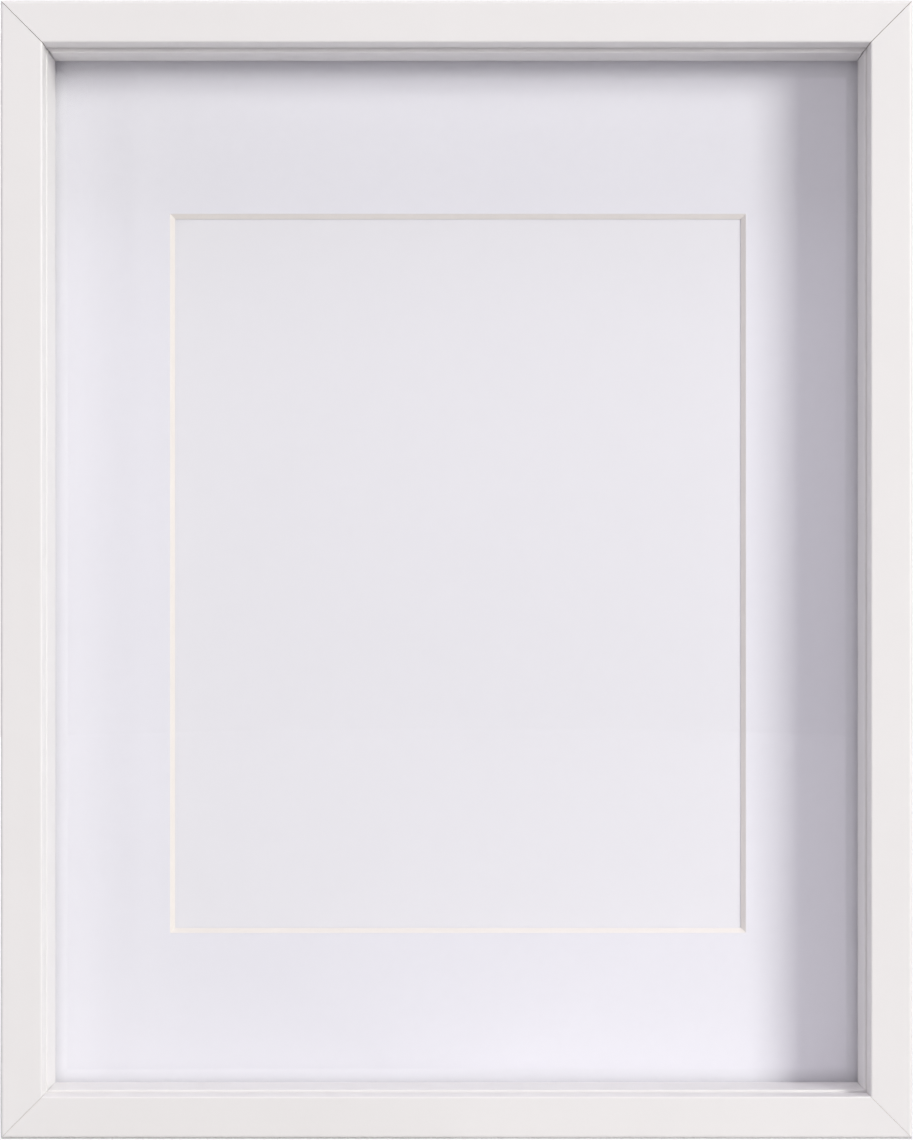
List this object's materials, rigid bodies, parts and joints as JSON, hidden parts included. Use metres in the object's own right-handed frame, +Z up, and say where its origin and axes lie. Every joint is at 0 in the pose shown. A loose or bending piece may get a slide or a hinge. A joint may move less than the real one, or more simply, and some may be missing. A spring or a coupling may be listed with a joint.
{
  "type": "shadow box",
  "caption": "Deep white mitred frame with an inner frame, a clear sheet over a window mat, and a back panel held by swivelling turn buttons.",
  "frame": {"origin": "under the middle of the whole object, on the surface that the bottom rail stands on", "axes": "+Z up, the long way of the box; +Y towards the wall, so the open front faces -Y; +X to the right as seen from the front"},
  "size_m": [0.2998, 0.0434, 0.374],
  "materials": {
    "white_foil": "fibreboard moulding wrapped in satin white foil",
    "clear_sheet": "polished clear sheet",
    "mat_board": "matt white paper face, cream core at the bevel",
    "white_paper": "plain matt white sheet",
    "grey_card": "uncoated greyboard",
    "fibreboard": "thin brown hardboard, smooth outside",
    "zinc_steel": "zinc-plated pressed steel",
    "rubber": "soft dark pad"
  },
  "bodies": {
    "root": {"rail_left": "white_foil", "spacer_left": "white_foil", "rail_right": "white_foil", "spacer_right": "white_foil", "rail_top": "white_foil", "spacer_top": "white_foil", "rail_bottom": "white_foil", "spacer_bottom": "white_foil", "clear_sheet": "clear_sheet", "window_mat": "mat_board", "picture_sheet": "white_paper", "backing_card": "grey_card", "back_panel": "fibreboard", "button_screw_left_1": "zinc_steel", "button_screw_left_2": "zinc_steel", "button_screw_left_3": "zinc_steel", "button_screw_left_4": "zinc_steel", "button_screw_right_1": "zinc_steel", "button_screw_right_2": "zinc_steel", "button_screw_right_3": "zinc_steel", "button_screw_right_4": "zinc_steel", "v_nail_bottom_left_1": "zinc_steel", "v_nail_bottom_left_2": "zinc_steel", "v_nail_bottom_right_1": "zinc_steel", "v_nail_bottom_right_2": "zinc_steel", "v_nail_top_right_1": "zinc_steel", "v_nail_top_right_2": "zinc_steel", "v_nail_top_left_1": "zinc_steel", "v_nail_top_left_2": "zinc_steel", "hanger_top": "zinc_steel", "hanger_nail_top_1": "zinc_steel", "hanger_nail_top_2": "zinc_steel", "hanger_left": "zinc_steel", "hanger_nail_left_1": "zinc_steel", "hanger_nail_left_2": "zinc_steel", "bumper_bottom_left": "rubber", "bumper_bottom_right": "rubber", "bumper_top_left": "rubber", "bumper_top_right": "rubber"},
    "turn_button_left_1": {"turn_button_left_1": "zinc_steel"},
    "turn_button_left_2": {"turn_button_left_2": "zinc_steel"},
    "turn_button_left_3": {"turn_button_left_3": "zinc_steel"},
    "turn_button_left_4": {"turn_button_left_4": "zinc_steel"},
    "turn_button_right_1": {"turn_button_right_1": "zinc_steel"},
    "turn_button_right_2": {"turn_button_right_2": "zinc_steel"},
    "turn_button_right_3": {"turn_button_right_3": "zinc_steel"},
    "turn_button_right_4": {"turn_button_right_4": "zinc_steel"}
  },
  "joints": [
    {"name": "turn_button_left_1_swivel", "type": "hinge", "parent": "root", "child": "turn_button_left_1", "pos_m": [-0.14525, 0.01785, 0.061], "axis": [0, 1, 0], "continuous": true},
    {"name": "turn_button_left_2_swivel", "type": "hinge", "parent": "root", "child": "turn_button_left_2", "pos_m": [-0.14525, 0.01785, 0.145], "axis": [0, 1, 0], "continuous": true},
    {"name": "turn_button_left_3_swivel", "type": "hinge", "parent": "root", "child": "turn_button_left_3", "pos_m": [-0.14525, 0.01785, 0.229], "axis": [0, 1, 0], "continuous": true},
    {"name": "turn_button_left_4_swivel", "type": "hinge", "parent": "root", "child": "turn_button_left_4", "pos_m": [-0.14525, 0.01785, 0.313], "axis": [0, 1, 0], "continuous": true},
    {"name": "turn_button_right_1_swivel", "type": "hinge", "parent": "root", "child": "turn_button_right_1", "pos_m": [0.14525, 0.01785, 0.061], "axis": [0, 1, 0], "continuous": true},
    {"name": "turn_button_right_2_swivel", "type": "hinge", "parent": "root", "child": "turn_button_right_2", "pos_m": [0.14525, 0.01785, 0.145], "axis": [0, 1, 0], "continuous": true},
    {"name": "turn_button_right_3_swivel", "type": "hinge", "parent": "root", "child": "turn_button_right_3", "pos_m": [0.14525, 0.01785, 0.229], "axis": [0, 1, 0], "continuous": true},
    {"name": "turn_button_right_4_swivel", "type": "hinge", "parent": "root", "child": "turn_button_right_4", "pos_m": [0.14525, 0.01785, 0.313], "axis": [0, 1, 0], "continuous": true}
  ]
}
